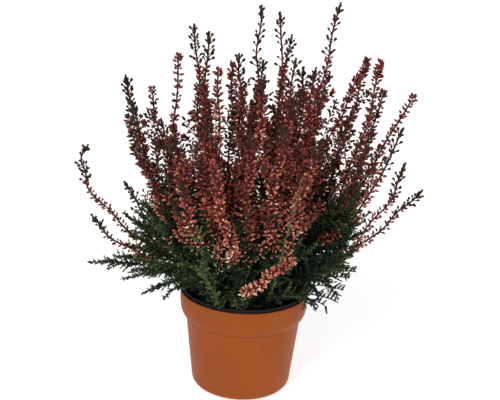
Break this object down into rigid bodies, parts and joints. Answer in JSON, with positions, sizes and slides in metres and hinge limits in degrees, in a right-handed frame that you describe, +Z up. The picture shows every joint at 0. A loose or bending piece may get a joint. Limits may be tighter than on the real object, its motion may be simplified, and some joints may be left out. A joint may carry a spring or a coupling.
{
  "type": "potted heather",
  "caption": "Bud-flowering heather with leafy stems and upright flower spikes, rooted in peat in a black grow pot that stands in a tapered terracotta-coloured pot.",
  "frame": {"origin": "middle of the flat underside of the outer pot", "axes": "+Z up, along the pot's axis; -Y is the side that faces the viewer; +X is the viewer's right"},
  "size_m": [0.3122, 0.2065, 0.365],
  "materials": {
    "terracotta_plastic": "satin terracotta-coloured moulded plastic with fine turning marks",
    "black_plastic": "thin black thermoformed plastic, matt",
    "peat": "dark moist peat with coarse fibres",
    "heather_leaf": "dull dark green scale leaves on reddish brown woody stems",
    "heather_bud": "closed buds, crimson-brown above, coral in the middle, cream and salmon at the bottom"
  },
  "bodies": {
    "root": {"outer_pot": "terracotta_plastic", "grow_pot": "black_plastic", "soil": "peat", "leafy_stem_01": "heather_leaf", "leafy_stem_02": "heather_leaf", "leafy_stem_03": "heather_leaf", "leafy_stem_04": "heather_leaf", "leafy_stem_05": "heather_leaf", "leafy_stem_06": "heather_leaf", "leafy_stem_07": "heather_leaf", "leafy_stem_08": "heather_leaf", "leafy_stem_09": "heather_leaf", "leafy_stem_10": "heather_leaf", "leafy_stem_11": "heather_leaf", "leafy_stem_12": "heather_leaf", "flower_spike_01": "heather_bud", "flower_spike_02": "heather_bud", "flower_spike_03": "heather_bud", "flower_spike_04": "heather_bud", "flower_spike_05": "heather_bud", "flower_spike_06": "heather_bud", "flower_spike_07": "heather_bud", "flower_spike_08": "heather_bud", "flower_spike_09": "heather_bud", "flower_spike_10": "heather_bud", "flower_spike_11": "heather_bud", "flower_spike_12": "heather_bud", "flower_spike_13": "heather_bud", "flower_spike_14": "heather_bud", "flower_spike_15": "heather_bud", "flower_spike_16": "heather_bud", "flower_spike_17": "heather_bud", "flower_spike_18": "heather_bud", "flower_spike_19": "heather_bud", "flower_spike_20": "heather_bud", "flower_spike_21": "heather_bud", "flower_spike_22": "heather_bud", "flower_spike_23": "heather_bud", "flower_spike_24": "heather_bud", "flower_spike_25": "heather_bud", "flower_spike_26": "heather_bud", "flower_spike_27": "heather_bud", "flower_spike_28": "heather_bud", "flower_spike_29": "heather_bud", "flower_spike_30": "heather_bud", "flower_spike_31": "heather_bud", "flower_spike_32": "heather_bud", "flower_spike_33": "heather_bud", "flower_spike_34": "heather_bud", "flower_spike_35": "heather_bud", "flower_spike_36": "heather_bud", "flower_spike_37": "heather_bud", "flower_spike_38": "heather_bud", "flower_spike_39": "heather_bud", "flower_spike_40": "heather_bud", "flower_spike_41": "heather_bud", "flower_spike_42": "heather_bud", "flower_spike_43": "heather_bud", "flower_spike_44": "heather_bud"}
  },
  "joints": []
}
